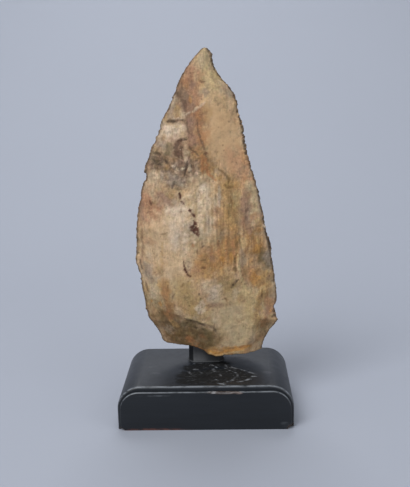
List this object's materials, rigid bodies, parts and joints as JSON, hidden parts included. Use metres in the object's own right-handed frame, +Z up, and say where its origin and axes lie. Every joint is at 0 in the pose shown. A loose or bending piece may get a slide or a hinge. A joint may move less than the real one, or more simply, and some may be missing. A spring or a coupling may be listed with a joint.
{
  "type": "chipped stone axe on a plinth",
  "caption": "Pointed hand axe of chipped tan stone with flake scars on both faces, standing on its butt on a short post and a dark wooden plinth with round top corners.",
  "frame": {"origin": "middle of the plinth's underside, on the surface it stands on", "axes": "+Z up along the stone, +X to the right seen from the front, +Y away from the front"},
  "size_m": [0.11, 0.076, 0.2324],
  "materials": {
    "stone": "weathered tan quartzite, ochre and rust stained, matt with fine grain",
    "post": "dark grey satin paint",
    "plinth": "black lacquered wood, satin, scuffed and chipped along its edges"
  },
  "bodies": {
    "root": {"stone_axe": "stone", "post": "post", "plinth": "plinth"}
  },
  "joints": []
}
